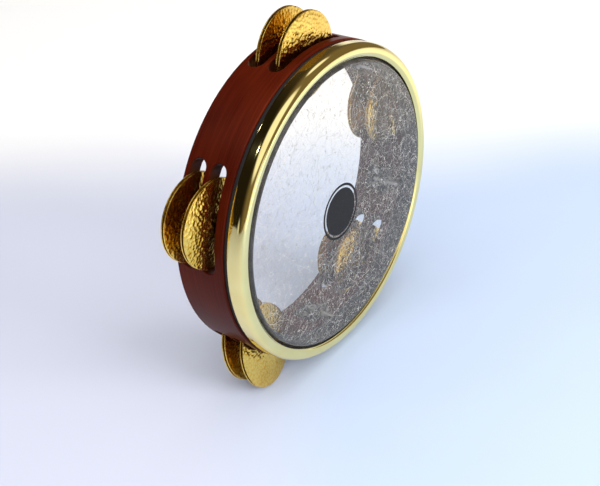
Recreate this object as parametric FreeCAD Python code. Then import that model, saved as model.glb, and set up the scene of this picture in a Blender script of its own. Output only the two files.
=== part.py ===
import FreeCAD, Part
import math
import os

# Hand frame drum with five sets of paired brass cymbals, standing on edge on its lower cymbals.
#
# Everything is built in the drum's own frame: its axis is local Z, pointing out of the head, local Y
# points at the top cymbal set, and local z = 0 is the lower edge of the brass hoop. The last step
# stands the drum up: local Z becomes -Y, local Y becomes +Z, and the origin goes to the middle of
# the footprint, on the surface that the drum stands on. Millimetres throughout.

# ---- driving dimensions -------------------------------------------------------------------------
SHELL_RADIUS = 110.0        # outside of the wooden shell
SHELL_WALL = 10.5
SHELL_DEPTH = 37.4          # front edge to back edge of the wood
SHELL_EDGE_ROUND = 1.2
GASKET_HEIGHT = 2.9         # the dark gap between wood and brass
GASKET_INNER = 102.5
GASKET_SETBACK = 1.0        # from the outside of the brass

HOOP_RADIUS = 109.5         # outside of the brass skirt
HOOP_LIP_RADIUS = 100.6     # inside of the rolled lip
HOOP_SKIRT = 5.6            # straight height of the skirt
HOOP_CREST = 11.2           # highest point of the rolled bead
HOOP_LIP_HEIGHT = 10.0
HOOP_GAUGE = 1.2            # thickness of the brass sheet
HOOP_CREST_INSET = 4.9      # crest of the bead, out from the lip's inside
LIP_ROUND = 0.3
LIP_RISE = (2.4, 0.87)      # middle of the lip's arc, out and up from the lip's edge

HEAD_HEIGHT = 11.0          # playing surface above the skirt's lower edge
HEAD_RADIUS = 98.2          # where the film bends over the tuning ring
FILM = 0.3
FLESH_TOP = 6.5             # top of the flesh hoop that carries the film's rim
FLESH_INNER, FLESH_OUTER = 101.2, 106.4
FLESH_CHAMFER = 0.5
FLESH_OVERLAP = 0.2         # film that bends inside the flesh hoop

RING_OUTER, RING_INNER = 98.3, 97.0     # wall of the tuning ring under the head
RING_FLANGE_INNER = 93.9                # flange that the tuning screws push on
RING_FLANGE = 1.6                       # its thickness
RING_BOTTOM = 0.0

SET_COUNT = 5               # cymbal sets round the shell
SLOT_LENGTH = 69.0
SLOT_WIDTH = 11.8
SLOT_CENTRES = (-15.3, -30.9)           # axial middles of the front and back slot of a set
SLOT_EDGE_ROUND = 0.6

CYMBAL_RADIUS = 29.0
CYMBAL_GAUGE = 0.8
CUP_RADIUS = 9.5            # foot of the raised cup
CUP_HEIGHT = 2.0
CUP_BELLY = 0.68            # share of the height that the cup has half way up its slope
PAIR_GAP = 1.2              # between the flat faces of a pair at rest
PIN_RADIUS = 1.25
HOLE_GAP = 0.4              # left between a pin and the edge of the hole that hangs on it
LOWER_LEAN = 15.0           # degrees that the two lower sets lean towards the head
LOWER_DROOP = 1.8           # how far the lower cymbals' centres lie below their pins

PIN_HEAD_RADIUS, PIN_HEAD_HEIGHT = 2.3, 1.1
PIN_BLIND = 4.0             # depth of the pin's blind end in the front land

BRACKET_HALF_ANGLE = 5.2
BRACKET_GAUGE = 1.5
BRACKET_REACH = 8.5         # how far the foot stands in from the wall
BRACKET_FRONT, BRACKET_BACK = -12.0, -30.0
SCREW_AXIS_RADIUS = 95.4    # pitch circle of the tuning screws
TUNING_SCREW_RADIUS = 2.0
TUNING_SCREW_LENGTH = 22.0
TUNING_SCREW_PLAY = 0.05    # radial running clearance in bracket and nut
TIP_CHAMFER, TAIL_CHAMFER = 0.8, 0.4
SCREW_TIP_GAP = 0.3
SOCKET_FLATS, SOCKET_DEPTH = 2.0, 3.0
NUT_FLATS, NUT_HEIGHT = 7.0, 2.8
WOOD_SCREW_RADIUS, WOOD_SCREW_HEAD = 1.4, 2.6
WOOD_SCREW_ANGLE = 3.0      # half the angle between a bracket's two wood screws
WOOD_SCREW_Z = -22.0
WOOD_SCREW_BITE = 7.5       # depth in the wood
WOOD_SCREW_DOME = 1.5       # height of the head
WOOD_SCREW_RIM = 0.2        # height of the head's straight edge
DOME_SHOULDER = (0.62, 0.78)            # radius and height of the dome's shoulder, as shares

# ---- sizes that follow --------------------------------------------------------------------------
SHELL_INNER = SHELL_RADIUS - SHELL_WALL
SHELL_FRONT = -GASKET_HEIGHT
SHELL_BACK = SHELL_FRONT - SHELL_DEPTH
PIN_CIRCLE = SHELL_RADIUS - SHELL_WALL / 2
WOOD_SCREW_SEAT = SHELL_INNER - BRACKET_GAUGE - 0.05    # flat underside of the head, just off the curved leg
CROWN = PAIR_GAP / 2 + CUP_HEIGHT + CYMBAL_GAUGE           # from a pair's middle to a cup's top
CROWN_SHIFT = CROWN * math.sin(math.radians(LOWER_LEAN))    # of a leaning cup's hole along its slot's depth
HOLE_RADIUS = PIN_RADIUS + LOWER_DROOP + CROWN_SHIFT + HOLE_GAP
UPPER_DROOP = HOLE_RADIUS - PIN_RADIUS - HOLE_GAP           # the upper cymbals hang free on their pins
SET_STEP = 360.0 / SET_COUNT
SET_NAMES = ("top", "upper_right", "lower_right", "lower_left", "upper_left")
Z_AXIS = FreeCAD.Vector(0, 0, 1)
ORIGIN = FreeCAD.Vector(0, 0, 0)


def point(radius, height):
    """A point of a cross-section, in the local XZ half-plane."""
    return FreeCAD.Vector(radius, 0, height)


def line(a, b):
    return Part.LineSegment(a, b).toShape()


def arc(a, middle, b):
    return Part.Arc(a, middle, b).toShape()


def spin(edges, degrees=360.0):
    """Turn a closed cross-section about the drum axis."""
    return Part.Face(Part.Wire(edges)).revolve(ORIGIN, Z_AXIS, degrees)


def spin_outline(*corners, degrees=360.0):
    points = [point(*corner) for corner in corners]
    edges = [line(a, b) for a, b in zip(points, points[1:] + points[:1])]
    return spin(edges, degrees)


def turned(shape, angle):
    """A copy moved clockwise round the drum, seen from the head, by an angle in degrees."""
    copy = shape.copy()
    copy.rotate(ORIGIN, Z_AXIS, -angle)
    return copy


def outward(angle):
    """Unit vector from the drum axis towards a clock angle measured from the top."""
    a = math.radians(angle)
    return FreeCAD.Vector(math.sin(a), math.cos(a), 0)


def cylinder(radius, start, direction, length):
    return Part.makeCylinder(radius, length, start, direction)


def hexagon_prism(flats, height, base):
    """Upright hexagon with two flats facing along local Y."""
    corner = flats / math.sqrt(3)
    corners = [base + FreeCAD.Vector(corner * math.cos(math.radians(60 * i)),
                                     corner * math.sin(math.radians(60 * i)), 0)
               for i in range(6)]
    wire = Part.makePolygon(corners + corners[:1])
    return Part.Face(wire).extrude(FreeCAD.Vector(0, 0, height))


# ---- shell --------------------------------------------------------------------------------------
def slot_cutter(centre):
    """Round-ended prism through the wall at the top of the shell."""
    half = SLOT_WIDTH / 2
    run = SLOT_LENGTH / 2 - half
    start = SHELL_INNER - 2 * SHELL_WALL

    def at(x, z):
        return FreeCAD.Vector(x, start, centre + z)

    wire = Part.Wire([
        line(at(-run, half), at(run, half)),
        arc(at(run, half), at(run + half, 0), at(run, -half)),
        line(at(run, -half), at(-run, -half)),
        arc(at(-run, -half), at(-run - half, 0), at(-run, half)),
    ])
    return Part.Face(wire).extrude(FreeCAD.Vector(0, SHELL_RADIUS + SHELL_WALL - start, 0))


def shell_blank():
    r = SHELL_EDGE_ROUND
    k = r * (1 - math.sqrt(0.5))
    outer, inner = SHELL_RADIUS, SHELL_INNER
    front, back = SHELL_FRONT, SHELL_BACK
    return spin([
        line(point(inner + r, front), point(outer - r, front)),
        arc(point(outer - r, front), point(outer - k, front - k), point(outer, front - r)),
        line(point(outer, front - r), point(outer, back + r)),
        arc(point(outer, back + r), point(outer - k, back + k), point(outer - r, back)),
        line(point(outer - r, back), point(inner + r, back)),
        arc(point(inner + r, back), point(inner + k, back + k), point(inner, back + r)),
        line(point(inner, back + r), point(inner, front - r)),
        arc(point(inner, front - r), point(inner + k, front - k), point(inner + r, front)),
    ])


def is_slot_mouth(edge):
    """True for an edge on the shell's outside that a slot cut there."""
    box = edge.BoundBox
    middle = edge.valueAt((edge.FirstParameter + edge.LastParameter) / 2)
    on_outside = abs(math.hypot(middle.x, middle.y) - SHELL_RADIUS) < 0.01
    inside_edges = SHELL_BACK + 2 < box.ZMin and box.ZMax < SHELL_FRONT - 2
    straight_seam = box.XLength < 0.01 and box.YLength < 0.01
    return on_outside and inside_edges and not straight_seam


def shell(pins, shanks):
    cutters = [turned(slot_cutter(centre), i * SET_STEP)
               for i in range(SET_COUNT) for centre in SLOT_CENTRES]
    body = shell_blank().cut(cutters)
    mouths = [edge for edge in body.Edges if is_slot_mouth(edge)]
    body = body.makeFillet(SLOT_EDGE_ROUND, mouths)
    return body.cut(pins + shanks)


# ---- head and hoops -----------------------------------------------------------------------------
def counter_hoop():
    """Brass sheet with a straight skirt, a rolled bead and a lip over the film."""
    outer, lip, g = HOOP_RADIUS, HOOP_LIP_RADIUS, HOOP_GAUGE
    crest_r = lip + HOOP_CREST_INSET
    bead = outer - crest_r
    shoulder = math.sqrt(0.5)
    rise = HOOP_CREST - HOOP_SKIRT

    def bead_point(offset):
        return point(crest_r + (bead - offset) * shoulder, HOOP_SKIRT + (rise - offset) * shoulder)

    across, up = LIP_RISE
    lip_top = point(lip + LIP_ROUND, HOOP_LIP_HEIGHT)
    lip_nose = point(lip, HOOP_LIP_HEIGHT - g / 2)
    lip_under = point(lip + LIP_ROUND, HOOP_LIP_HEIGHT - g)
    lip_mid = point(lip + across, HOOP_LIP_HEIGHT + up)
    under_mid = point(lip + across, HOOP_LIP_HEIGHT + up - g)
    return spin([
        line(point(outer - g, 0), point(outer, 0)),
        line(point(outer, 0), point(outer, HOOP_SKIRT)),
        arc(point(outer, HOOP_SKIRT), bead_point(0), point(crest_r, HOOP_CREST)),
        arc(point(crest_r, HOOP_CREST), lip_mid, lip_top),
        arc(lip_top, lip_nose, lip_under),
        arc(lip_under, under_mid, point(crest_r, HOOP_CREST - g)),
        arc(point(crest_r, HOOP_CREST - g), bead_point(g), point(outer - g, HOOP_SKIRT)),
        line(point(outer - g, HOOP_SKIRT), point(outer - g, 0)),
    ])


def flesh_hoop():
    c = FLESH_CHAMFER
    return spin_outline(
        (FLESH_INNER, 0), (FLESH_OUTER, 0), (FLESH_OUTER, FLESH_TOP - c), (FLESH_OUTER - c, FLESH_TOP),
        (FLESH_INNER + c, FLESH_TOP), (FLESH_INNER, FLESH_TOP - c))


def hoop_gasket():
    """Dark band between wood and brass, set back from both."""
    inner, outer = GASKET_INNER, HOOP_RADIUS - GASKET_SETBACK
    return spin_outline((inner, SHELL_FRONT), (outer, SHELL_FRONT), (outer, 0), (inner, 0))


def drumhead():
    """Film: flat playing surface, a collar that falls to the flesh hoop, and a flat rim on it."""
    rim_in, rim_out = FLESH_INNER - FLESH_OVERLAP, FLESH_OUTER
    return spin_outline(
        (0, HEAD_HEIGHT - FILM), (HEAD_RADIUS, HEAD_HEIGHT - FILM), (rim_in, FLESH_TOP),
        (rim_out, FLESH_TOP), (rim_out, FLESH_TOP + FILM), (rim_in + FILM / 2, FLESH_TOP + FILM),
        (HEAD_RADIUS + FILM / 2, HEAD_HEIGHT), (0, HEAD_HEIGHT))


def tuning_ring():
    """Metal ring of L section: screws push on its flange, its round-topped wall tightens the film."""
    top = HEAD_HEIGHT - FILM
    half = (RING_OUTER - RING_INNER) / 2
    flange_top = RING_BOTTOM + RING_FLANGE
    return spin([
        line(point(RING_FLANGE_INNER, RING_BOTTOM), point(RING_OUTER, RING_BOTTOM)),
        line(point(RING_OUTER, RING_BOTTOM), point(RING_OUTER, top - half)),
        arc(point(RING_OUTER, top - half), point(RING_OUTER - half, top), point(RING_INNER, top - half)),
        line(point(RING_INNER, top - half), point(RING_INNER, flange_top)),
        line(point(RING_INNER, flange_top), point(RING_FLANGE_INNER, flange_top)),
        line(point(RING_FLANGE_INNER, flange_top), point(RING_FLANGE_INNER, RING_BOTTOM)),
    ])


# ---- tuning gear inside the shell ---------------------------------------------------------------
def tuning_screw():
    """Headless screw at the top of the drum, with a hexagon socket at its back end."""
    axis = FreeCAD.Vector(0, SCREW_AXIS_RADIUS, 0)
    tip = RING_BOTTOM - SCREW_TIP_GAP
    tail = tip - TUNING_SCREW_LENGTH
    r = TUNING_SCREW_RADIUS
    profile = spin_outline(
        (0, tail), (r - TAIL_CHAMFER, tail), (r, tail + TAIL_CHAMFER),
        (r, tip - TIP_CHAMFER), (r - TIP_CHAMFER, tip), (0, tip))
    profile.translate(axis)
    return profile.cut(hexagon_prism(SOCKET_FLATS, SOCKET_DEPTH, axis + FreeCAD.Vector(0, 0, tail)))


def screw_bore():
    start = FreeCAD.Vector(0, SCREW_AXIS_RADIUS, BRACKET_BACK)
    return cylinder(TUNING_SCREW_RADIUS + TUNING_SCREW_PLAY, start, Z_AXIS, -BRACKET_BACK)


def bracket_nut():
    nut = hexagon_prism(NUT_FLATS, NUT_HEIGHT, FreeCAD.Vector(0, SCREW_AXIS_RADIUS, BRACKET_FRONT))
    return nut.cut(screw_bore())


def wood_screw_shank(angle):
    """The part of a wood screw that fills its holes in the bracket's leg and in the wood."""
    out = outward(angle)
    start = out * WOOD_SCREW_SEAT + FreeCAD.Vector(0, 0, WOOD_SCREW_Z)
    return cylinder(WOOD_SCREW_RADIUS, start, out, WOOD_SCREW_BITE + SHELL_INNER - WOOD_SCREW_SEAT)


def wood_screw(angle):
    """Screw with a domed head, through a bracket's leg into the wood."""
    r, head, dome, rim = WOOD_SCREW_RADIUS, WOOD_SCREW_HEAD, WOOD_SCREW_DOME, WOOD_SCREW_RIM
    across, up = DOME_SHOULDER
    tip = WOOD_SCREW_BITE + SHELL_INNER - WOOD_SCREW_SEAT
    screw = spin([
        arc(point(0, -dome), point(head * across, -dome * up), point(head, -rim)),
        line(point(head, -rim), point(head, 0)),
        line(point(head, 0), point(r, 0)),
        line(point(r, 0), point(r, tip)),
        line(point(r, tip), point(0, tip)),
        line(point(0, tip), point(0, -dome)),
    ])
    screw.rotate(ORIGIN, FreeCAD.Vector(1, 0, 0), -90)
    screw.translate(FreeCAD.Vector(0, WOOD_SCREW_SEAT, WOOD_SCREW_Z))
    return turned(screw, angle)


def bracket(shanks):
    wall, leg = SHELL_INNER, SHELL_INNER - BRACKET_GAUGE
    foot = SHELL_INNER - BRACKET_REACH
    angle = spin_outline((wall, BRACKET_BACK), (wall, BRACKET_FRONT), (foot, BRACKET_FRONT),
                         (foot, BRACKET_FRONT - BRACKET_GAUGE), (leg, BRACKET_FRONT - BRACKET_GAUGE),
                         (leg, BRACKET_BACK), degrees=2 * BRACKET_HALF_ANGLE)
    angle.rotate(ORIGIN, Z_AXIS, 90 - BRACKET_HALF_ANGLE)
    return angle.cut([screw_bore()] + shanks)


# ---- cymbals ------------------------------------------------------------------------------------
def cymbal_pin():
    """Pin at the top of the drum, driven in from the back edge until its head is flush."""
    axis = FreeCAD.Vector(0, PIN_CIRCLE, SHELL_BACK)
    length = SLOT_CENTRES[0] + SLOT_WIDTH / 2 + PIN_BLIND - SHELL_BACK
    shank = cylinder(PIN_RADIUS, axis, Z_AXIS, length)
    head = Part.makeCone(PIN_HEAD_RADIUS, PIN_RADIUS, PIN_HEAD_HEIGHT, axis, Z_AXIS)
    return shank.fuse(head).removeSplitter()


def cymbal():
    """One cymbal about local Z: flat face at z = 0, cup rising towards +Z."""
    g, flat = CYMBAL_GAUGE, CYMBAL_RADIUS
    crown = CUP_HEIGHT
    half_way = (HOLE_RADIUS + CUP_RADIUS) / 2
    belly = crown * CUP_BELLY
    return spin([
        line(point(CUP_RADIUS, 0), point(flat - g / 2, 0)),
        arc(point(flat - g / 2, 0), point(flat, g / 2), point(flat - g / 2, g)),
        line(point(flat - g / 2, g), point(CUP_RADIUS + g / 2, g)),
        arc(point(CUP_RADIUS + g / 2, g), point(half_way + g / 2, belly + g), point(HOLE_RADIUS, crown + g)),
        line(point(HOLE_RADIUS, crown + g), point(HOLE_RADIUS, crown)),
        arc(point(HOLE_RADIUS, crown), point(half_way, belly), point(CUP_RADIUS, 0)),
    ])


def carries_drum(set_index):
    """True for the two sets that the drum stands on."""
    return outward(set_index * SET_STEP).y < -0.5


def set_cymbals(set_index):
    """The four cymbals of a set, from the head to the back. The sets on the ground lean."""
    out = outward(set_index * SET_STEP)
    grounded = carries_drum(set_index)
    droop = LOWER_DROOP if grounded else UPPER_DROOP
    hang = out * PIN_CIRCLE - FreeCAD.Vector(0, droop, 0)
    lean_axis = out.cross(Z_AXIS)
    placed = []
    for centre in SLOT_CENTRES:
        for faces_head in (True, False):
            disc = cymbal()
            if not faces_head:
                disc.rotate(ORIGIN, FreeCAD.Vector(1, 0, 0), 180)
            disc.translate(FreeCAD.Vector(0, 0, PAIR_GAP / 2 if faces_head else -PAIR_GAP / 2))
            disc.rotate(ORIGIN, lean_axis, LOWER_LEAN if grounded else 0)
            disc.translate(hang + FreeCAD.Vector(0, 0, centre))
            placed.append(disc)
    return placed


def standing_height():
    """Height of the drum axis above the surface under the lower cymbals' rims."""
    angle = next(i * SET_STEP for i in range(SET_COUNT) if carries_drum(i))
    slope = abs(outward(angle).y) * math.sin(math.radians(LOWER_LEAN))
    rim_middle = CYMBAL_RADIUS - CYMBAL_GAUGE / 2
    hanging = PIN_CIRCLE * abs(outward(angle).y) + LOWER_DROOP
    deepest_face = (PAIR_GAP / 2 + CYMBAL_GAUGE / 2) * slope
    return hanging + rim_middle * math.sqrt(1 - slope * slope) + deepest_face + CYMBAL_GAUGE / 2


# ---- assembly -----------------------------------------------------------------------------------
def stand_up(shape):
    """From the drum's own frame to the row frame."""
    middle = (HOOP_CREST + SHELL_BACK) / 2
    upright = shape.copy()
    upright.rotate(ORIGIN, FreeCAD.Vector(1, 0, 0), 90)
    upright.translate(FreeCAD.Vector(0, middle, standing_height()))
    return upright


def build():
    """Every sub-part in the drum's own frame, by node name."""
    pins = [turned(cymbal_pin(), i * SET_STEP) for i in range(SET_COUNT)]
    bracket_angles = [(i + 0.5) * SET_STEP for i in range(SET_COUNT)]
    beside = (-WOOD_SCREW_ANGLE, WOOD_SCREW_ANGLE)
    screws = [wood_screw(angle + side) for angle in bracket_angles for side in beside]
    shanks = [wood_screw_shank(angle + side) for angle in bracket_angles for side in beside]
    blank_bracket = bracket([wood_screw_shank(side) for side in beside])
    nodes = {
        "shell": shell(pins, shanks),
        "counter_hoop": counter_hoop(),
        "flesh_hoop": flesh_hoop(),
        "hoop_gasket": hoop_gasket(),
        "drumhead": drumhead(),
        "tuning_ring": tuning_ring(),
        "bracket_screws": Part.makeCompound(screws),
        "bracket_nuts": Part.makeCompound([turned(bracket_nut(), angle) for angle in bracket_angles]),
    }
    for number, angle in enumerate(bracket_angles, start=1):
        nodes[f"tuning_bracket_{number}"] = turned(blank_bracket, angle)
        nodes[f"tuning_screw_{number}"] = turned(tuning_screw(), angle)
    for index, name in enumerate(SET_NAMES):
        nodes[f"cymbal_pin_{name}"] = pins[index]
        for number, disc in enumerate(set_cymbals(index), start=1):
            nodes[f"cymbal_{name}_{number}"] = disc
    return nodes


os.makedirs("parts", exist_ok=True)
for node, shape in build().items():
    upright = stand_up(shape)
    upright.exportStep(f"parts/{node}.step")
    box = upright.BoundBox
    print(f"{node}: valid {upright.isValid()}, {len(upright.Solids)} solids, {upright.Volume:.0f} mm3, "
          f"z {box.ZMin:.2f} to {box.ZMax:.2f}")
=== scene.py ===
"""Looks of a hand frame drum with five sets of hammered brass cymbals, built round its CAD frame.

Every piece is made about the drum's own axes: local z points out of the head, local y towards the top
cymbal set, and local z = 0 is the lower edge of the brass hoop. DrumFrame stands a finished mesh up in
the row frame. Lengths are metres throughout, written as multiples of MM.
"""
import logging
import math
from dataclasses import dataclass, field
from enum import Enum
from typing import Sequence

import bmesh
import bpy
from mathutils import Matrix, Vector


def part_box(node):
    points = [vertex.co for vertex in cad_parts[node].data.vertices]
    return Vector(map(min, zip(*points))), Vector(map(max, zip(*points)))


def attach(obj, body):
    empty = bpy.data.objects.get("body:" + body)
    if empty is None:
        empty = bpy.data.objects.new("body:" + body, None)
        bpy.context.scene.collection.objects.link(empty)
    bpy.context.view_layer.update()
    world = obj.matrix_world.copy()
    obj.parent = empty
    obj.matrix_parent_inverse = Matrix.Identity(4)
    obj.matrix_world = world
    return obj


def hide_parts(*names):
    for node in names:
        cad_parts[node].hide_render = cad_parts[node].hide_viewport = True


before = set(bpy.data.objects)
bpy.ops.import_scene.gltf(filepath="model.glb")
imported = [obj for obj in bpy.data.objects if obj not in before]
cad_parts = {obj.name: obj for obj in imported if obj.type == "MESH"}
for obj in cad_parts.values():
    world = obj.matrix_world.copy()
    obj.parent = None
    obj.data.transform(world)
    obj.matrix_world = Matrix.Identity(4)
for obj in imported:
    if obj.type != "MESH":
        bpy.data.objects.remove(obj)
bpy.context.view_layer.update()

MM = 0.001
LOG = logging.getLogger("frame_drum")
DRUM_BODY = "drum"
WELD = 0.001 * MM
POLE_RADIUS = 1e-7

Outline = list[tuple[float, float]]
Place = tuple[float, float, float]
Colour = Place
Material = bpy.types.Material
Mesh = bpy.types.Mesh
Socket = bpy.types.NodeSocket
BMesh = bmesh.types.BMesh
BMVert = bmesh.types.BMVert


class CymbalSet(Enum):
    """The five cymbal sets, by their clock angle in degrees as seen from the head."""

    TOP = 0.0
    UPPER_RIGHT = 72.0
    LOWER_RIGHT = 144.0
    LOWER_LEFT = 216.0
    UPPER_LEFT = 288.0

    @property
    def stands(self) -> bool:
        """True for the two sets that the drum stands on."""
        return math.cos(math.radians(self.value)) < -0.5


class Facing(Enum):
    """Which way a cymbal's cup points along the drum's axis."""

    HEAD = 1
    BACK = -1


@dataclass(frozen=True)
class DrumFrame:
    """Where the drum's own axes lie: its axis above the floor, and y of the brass hoop's lower edge."""

    axis_height: float
    skirt_y: float

    @classmethod
    def measured(cls) -> "DrumFrame":
        """Read the axes from the boxes of the shell and of the band under the hoop."""
        shell_low, shell_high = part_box("shell")
        band_low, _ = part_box("hoop_gasket")
        return cls(axis_height=(shell_low[2] + shell_high[2]) / 2, skirt_y=band_low[1])

    @property
    def matrix(self) -> Matrix:
        """From the drum's own axes to the row frame."""
        return Matrix.Translation(self.centre) @ Matrix.Rotation(math.pi / 2, 4, "X")

    @property
    def centre(self) -> Vector:
        """The zero of the drum's own axes, in the row frame."""
        return Vector((0, self.skirt_y, self.axis_height))

    def ring(self, node: str) -> tuple[float, float, float]:
        """Outer radius, bottom and top of a CAD node that goes round the drum's axis."""
        low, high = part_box(node)
        return (high[0] - low[0]) / 2, self.skirt_y - high[1], self.skirt_y - low[1]

    def box(self, node: str) -> tuple[Vector, Vector]:
        """Lowest and highest corner of a CAD node's box, in the drum's own axes."""
        low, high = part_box(node)
        _, bottom, top = self.ring(node)
        return (Vector((low[0], low[2] - self.axis_height, bottom)),
                Vector((high[0], high[2] - self.axis_height, top)))


DRUM = DrumFrame.measured()


def clockwise(degrees: float) -> Matrix:
    """A turn about the drum's axis, clockwise as seen from the head."""
    return Matrix.Rotation(-math.radians(degrees), 4, "Z")


# ---- outlines and meshes ----
def arc(centre: tuple[float, float], radius: float, start: float, end: float, steps: int,
        rise: float | None = None) -> Outline:
    """Points along an arc of an outline.

    Args:
        centre: middle of the arc, as (radius, height).
        radius: radius of the arc, or half the width of an ellipse.
        start: first angle in degrees, from the outward direction towards the head.
        end: last angle in degrees.
        steps: number of chords.
        rise: half the height of an ellipse.

    Returns:
        steps + 1 points, both ends included.
    """
    rise = radius if rise is None else rise
    turns = [math.radians(start + (end - start) * i / steps) for i in range(steps + 1)]
    return [(centre[0] + radius * math.cos(t), centre[1] + rise * math.sin(t)) for t in turns]


def run(start: tuple[float, float], end: tuple[float, float], steps: int) -> Outline:
    """Evenly spaced points of a straight stretch, without its last point."""
    return [(start[0] + (end[0] - start[0]) * i / steps, start[1] + (end[1] - start[1]) * i / steps)
            for i in range(steps)]


def lathe(name: str, outline: Outline, segments: int, sharp_degrees: float = 35.0) -> Mesh:
    """Turn an outline about the drum's axis into a closed, outward-facing mesh.

    Args:
        name: name of the mesh.
        outline: (radius, height) points. A point on the axis becomes a single pole.
        segments: steps round the axis.
        sharp_degrees: edges that turn more than this stay crisp.

    Returns:
        The mesh. Its UV map unrolls it: u runs round it and v runs along the outline, both in metres.
    """
    bm = bmesh.new()
    rings = []
    for radius, height in outline:
        if radius < POLE_RADIUS:
            rings.append([bm.verts.new((0, 0, height))])
            continue
        turns = [2 * math.pi * i / segments for i in range(segments)]
        rings.append([bm.verts.new((radius * math.cos(t), radius * math.sin(t), height)) for t in turns])
    length = [0.0]
    for (r0, h0), (r1, h1) in zip(outline, outline[1:] + outline[:1]):
        length.append(length[-1] + math.hypot(r1 - r0, h1 - h0))
    uv = bm.loops.layers.uv.new("UVMap")
    widest = max(radius for radius, _ in outline)
    for k, (ring, following) in enumerate(zip(rings, rings[1:] + rings[:1])):
        if len(ring) == 1 and len(following) == 1:
            continue
        for i in range(segments):
            j = (i + 1) % segments
            corners = [(ring[i % len(ring)], i, k), (ring[j % len(ring)], i + 1, k),
                       (following[j % len(following)], i + 1, k + 1),
                       (following[i % len(following)], i, k + 1)]
            distinct = [c for n, c in enumerate(corners) if c[0] is not corners[n - 1][0]]
            face = bm.faces.new([vert for vert, _, _ in distinct])
            for loop, (_, step, level) in zip(face.loops, distinct):
                loop[uv].uv = (step / segments * 2 * math.pi * widest, length[level])
    return closed_mesh(name, bm, sharp_degrees)


def closed_mesh(name: str, bm: BMesh, sharp_degrees: float) -> Mesh:
    """Turn a bmesh into a smooth-shaded mesh whose faces point outwards, and free the bmesh."""
    bmesh.ops.remove_doubles(bm, verts=bm.verts, dist=WELD)
    bmesh.ops.recalc_face_normals(bm, faces=bm.faces)
    mesh = plain_mesh(name, bm)
    mesh.shade_smooth()
    mesh.set_sharp_from_angle(angle=math.radians(sharp_degrees))
    return mesh


def plain_mesh(name: str, bm: BMesh) -> Mesh:
    """Turn a bmesh into a mesh as it is, and free the bmesh."""
    mesh = bpy.data.meshes.new(name)
    bm.to_mesh(mesh)
    bm.free()
    return mesh


def placed(name: str, data: bpy.types.ID) -> bpy.types.Object:
    """Add an object with that mesh, light or camera to the scene."""
    made = bpy.data.objects.new(name, data)
    bpy.context.scene.collection.objects.link(made)
    return made


def piece(name: str, mesh: Mesh, material: Material,
          body: str = DRUM_BODY, replaces: Sequence[str] = (), local: Matrix = Matrix()) -> None:
    """Stand a mesh up in the row frame as a finished piece, hang it on its body and hide the CAD nodes it
    stands for.

    Args:
        name: name of the piece.
        mesh: its mesh, about the drum's own axes.
        material: its finish.
        body: the CAD body that it moves with.
        replaces: CAD nodes that it stands for.
        local: a last move about the drum's own axes.
    """
    mesh.transform(DRUM.matrix @ local)
    mesh.materials.clear()
    mesh.materials.append(material)
    made = placed(name, mesh)
    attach(made, body)
    if replaces:
        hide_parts(*replaces)
    LOG.info("%s: %d faces, rides on %s", name, len(mesh.polygons), body)


def dress(node: str, material: Material) -> None:
    """Give a CAD node that stays as it is a better material."""
    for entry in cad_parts[node].material_slots:
        entry.material = material
    LOG.info("%s: CAD shape kept, finish %s", node, material.name)


# ---- finishes ----
class Nodes:
    """Writes one node tree: adds nodes with their values and links them."""

    def __init__(self, tree: bpy.types.NodeTree) -> None:
        """Start on an empty tree."""
        self.tree = tree
        tree.nodes.clear()

    def add(self, kind: str, inputs: dict | None = None, **settings: object) -> bpy.types.Node:
        """Add a node.

        Args:
            kind: Blender's name of the node type.
            inputs: values or output sockets for its inputs, by socket name or number.
            settings: the node's own properties.

        Returns:
            The node.
        """
        node = self.tree.nodes.new(kind)
        for key, value in settings.items():
            setattr(node, key, value)
        for key, value in (inputs or {}).items():
            if isinstance(value, Socket):
                self.tree.links.new(value, node.inputs[key])
            else:
                node.inputs[key].default_value = value
        return node

    def math(self, operation: str, *values: object) -> Socket:
        """The result of one Math node."""
        return self.add("ShaderNodeMath", dict(enumerate(values)), operation=operation).outputs[0]

    def vector(self, operation: str, *values: object) -> Socket:
        """The result of one Vector Math node, which is a number for a length or a dot product."""
        result = "Value" if operation in ("LENGTH", "DOT_PRODUCT") else "Vector"
        return self.add("ShaderNodeVectorMath", dict(enumerate(values)), operation=operation).outputs[result]

    def xyz(self, x: object = 0.0, y: object = 0.0, z: object = 0.0) -> Socket:
        """A vector from its three numbers."""
        return self.add("ShaderNodeCombineXYZ", {0: x, 1: y, 2: z}).outputs[0]

    def remap(self, value: Socket, source: tuple[object, object], target: tuple[float, float],
              smooth: bool = False) -> Socket:
        """A value carried from one range to another, kept within it."""
        kind = "SMOOTHSTEP" if smooth else "LINEAR"
        return self.add("ShaderNodeMapRange", dict(enumerate((value, *source, *target))),
                        interpolation_type=kind, clamp=True).outputs[0]


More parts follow.
